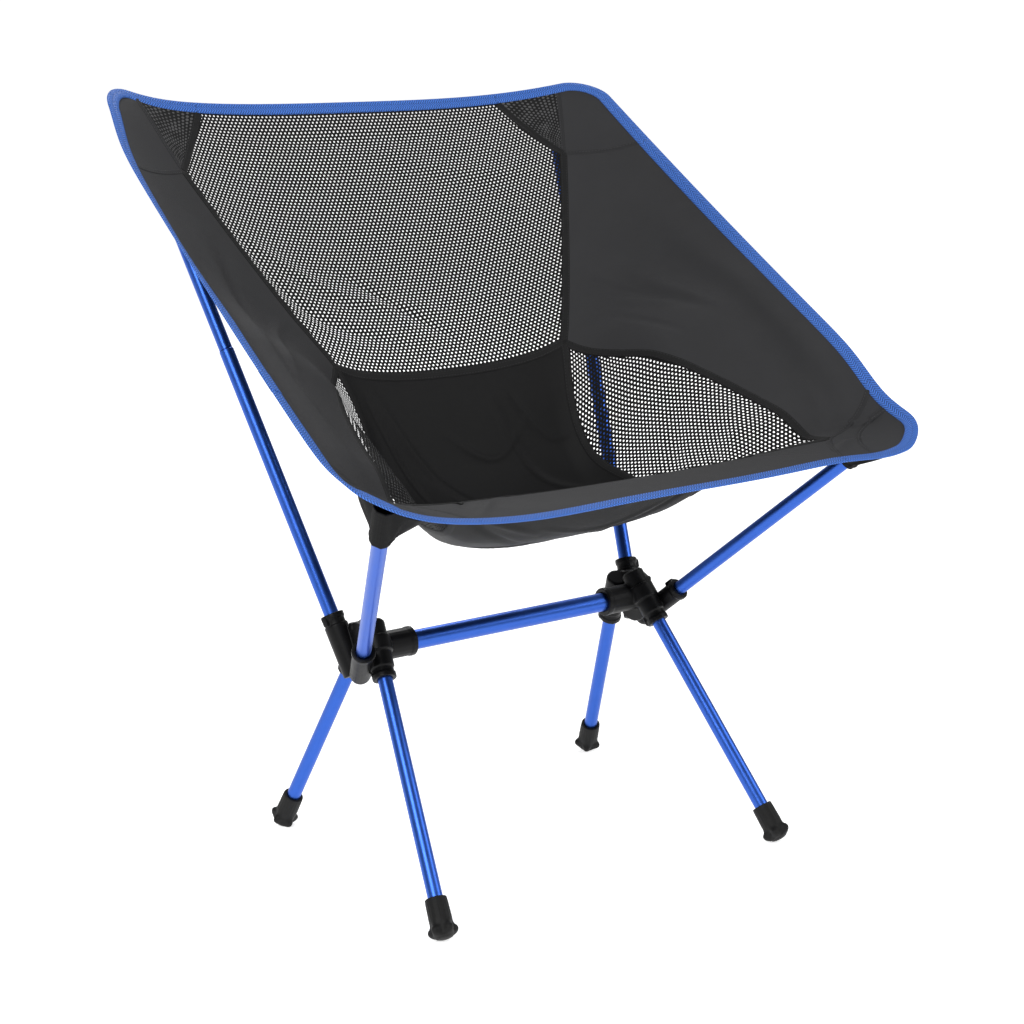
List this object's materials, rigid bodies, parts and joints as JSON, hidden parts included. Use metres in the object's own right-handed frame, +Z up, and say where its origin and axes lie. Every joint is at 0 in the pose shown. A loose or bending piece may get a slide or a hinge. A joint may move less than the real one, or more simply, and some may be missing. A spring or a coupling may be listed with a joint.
{
  "type": "ultralight camping chair",
  "caption": "Low packable camp chair: a fabric and mesh bucket sling hung by corner pockets on shock-corded aluminium tubes that plug into moulded hubs, on splayed legs with rubber feet.",
  "frame": {"origin": "on the ground, under the middle of the bounding box", "axes": "+X to the right seen from in front (the sitter's left), -Y the way the sitter faces, +Z up"},
  "size_m": [0.5748, 0.5201, 0.6703],
  "materials": {
    "anodised_tube": "bright blue anodised, satin",
    "bare_aluminium": "bare drawn tube",
    "hub_plastic": "black moulded nylon, fine texture",
    "foot_rubber": "black moulded rubber",
    "shock_cord": "braided elastic cord",
    "side_polyester": "charcoal woven polyester, fine ripstop grain",
    "seat_polyester": "black plain-woven polyester",
    "mesh_fabric": "black open knitted mesh",
    "binding_tape": "blue herringbone edge tape"
  },
  "bodies": {
    "frame_and_sling": {"crossbar": "anodised_tube", "crossbar_cord": "shock_cord", "seat_panel": "seat_polyester", "back_mesh": "mesh_fabric", "front_band": "side_polyester", "binding_front": "binding_tape", "binding_top": "binding_tape", "hub_left": "hub_plastic", "front_leg_cord_left": "shock_cord", "rear_leg_cord_left": "shock_cord", "front_arm_left": "anodised_tube", "front_arm_tip_left": "hub_plastic", "front_arm_cord_left": "shock_cord", "rear_pole_lower_left": "anodised_tube", "rear_pole_upper_left": "anodised_tube", "rear_pole_ferrule_left": "bare_aluminium", "rear_pole_tip_left": "hub_plastic", "rear_pole_cord_left": "shock_cord", "side_panel_left": "side_polyester", "side_mesh_left": "mesh_fabric", "binding_side_left": "binding_tape", "hub_right": "hub_plastic", "front_leg_cord_right": "shock_cord", "rear_leg_cord_right": "shock_cord", "front_arm_right": "anodised_tube", "front_arm_tip_right": "hub_plastic", "front_arm_cord_right": "shock_cord", "rear_pole_lower_right": "anodised_tube", "rear_pole_upper_right": "anodised_tube", "rear_pole_ferrule_right": "bare_aluminium", "rear_pole_tip_right": "hub_plastic", "rear_pole_cord_right": "shock_cord", "side_panel_right": "side_polyester", "side_mesh_right": "mesh_fabric", "binding_side_right": "binding_tape"},
    "front_leg_left": {"front_leg_tube_left": "anodised_tube", "front_leg_plug_left": "hub_plastic", "front_leg_foot_left": "foot_rubber"},
    "rear_leg_left": {"rear_leg_tube_left": "anodised_tube", "rear_leg_plug_left": "hub_plastic", "rear_leg_foot_left": "foot_rubber"},
    "front_corner_left": {"front_pocket_left": "side_polyester", "front_patch_left": "side_polyester", "front_binding_left": "binding_tape"},
    "rear_corner_left": {"rear_pocket_left": "side_polyester", "rear_patch_left": "side_polyester", "rear_binding_left": "binding_tape"},
    "front_leg_right": {"front_leg_tube_right": "anodised_tube", "front_leg_plug_right": "hub_plastic", "front_leg_foot_right": "foot_rubber"},
    "rear_leg_right": {"rear_leg_tube_right": "anodised_tube", "rear_leg_plug_right": "hub_plastic", "rear_leg_foot_right": "foot_rubber"},
    "front_corner_right": {"front_pocket_right": "side_polyester", "front_patch_right": "side_polyester", "front_binding_right": "binding_tape"},
    "rear_corner_right": {"rear_pocket_right": "side_polyester", "rear_patch_right": "side_polyester", "rear_binding_right": "binding_tape"}
  },
  "joints": [
    {"name": "front_leg_pull_left", "type": "slide", "parent": "frame_and_sling", "child": "front_leg_left", "axis": [-0.1363, -0.6269, -0.7671], "range_m": [0, 0.06], "stiffness_N_per_m": 60, "springref_m": -0.12},
    {"name": "rear_leg_pull_left", "type": "slide", "parent": "frame_and_sling", "child": "rear_leg_left", "axis": [-0.1665, 0.432, -0.8864], "range_m": [0, 0.06], "stiffness_N_per_m": 60, "springref_m": -0.12},
    {"name": "front_pocket_slip_left", "type": "slide", "parent": "frame_and_sling", "child": "front_corner_left", "axis": [-0.3064, -0.6876, 0.6582], "range_m": [0, 0.04], "stiffness_N_per_m": 300, "springref_m": -0.02},
    {"name": "rear_pocket_slip_left", "type": "slide", "parent": "frame_and_sling", "child": "rear_corner_left", "axis": [-0.1388, 0.4665, 0.8736], "range_m": [0, 0.04], "stiffness_N_per_m": 300, "springref_m": -0.02},
    {"name": "front_leg_pull_right", "type": "slide", "parent": "frame_and_sling", "child": "front_leg_right", "axis": [0.1363, -0.6269, -0.7671], "range_m": [0, 0.06], "stiffness_N_per_m": 60, "springref_m": -0.12},
    {"name": "rear_leg_pull_right", "type": "slide", "parent": "frame_and_sling", "child": "rear_leg_right", "axis": [0.1665, 0.432, -0.8864], "range_m": [0, 0.06], "stiffness_N_per_m": 60, "springref_m": -0.12},
    {"name": "front_pocket_slip_right", "type": "slide", "parent": "frame_and_sling", "child": "front_corner_right", "axis": [0.3064, -0.6876, 0.6582], "range_m": [0, 0.04], "stiffness_N_per_m": 300, "springref_m": -0.02},
    {"name": "rear_pocket_slip_right", "type": "slide", "parent": "frame_and_sling", "child": "rear_corner_right", "axis": [0.1388, 0.4665, 0.8736], "range_m": [0, 0.04], "stiffness_N_per_m": 300, "springref_m": -0.02}
  ]
}
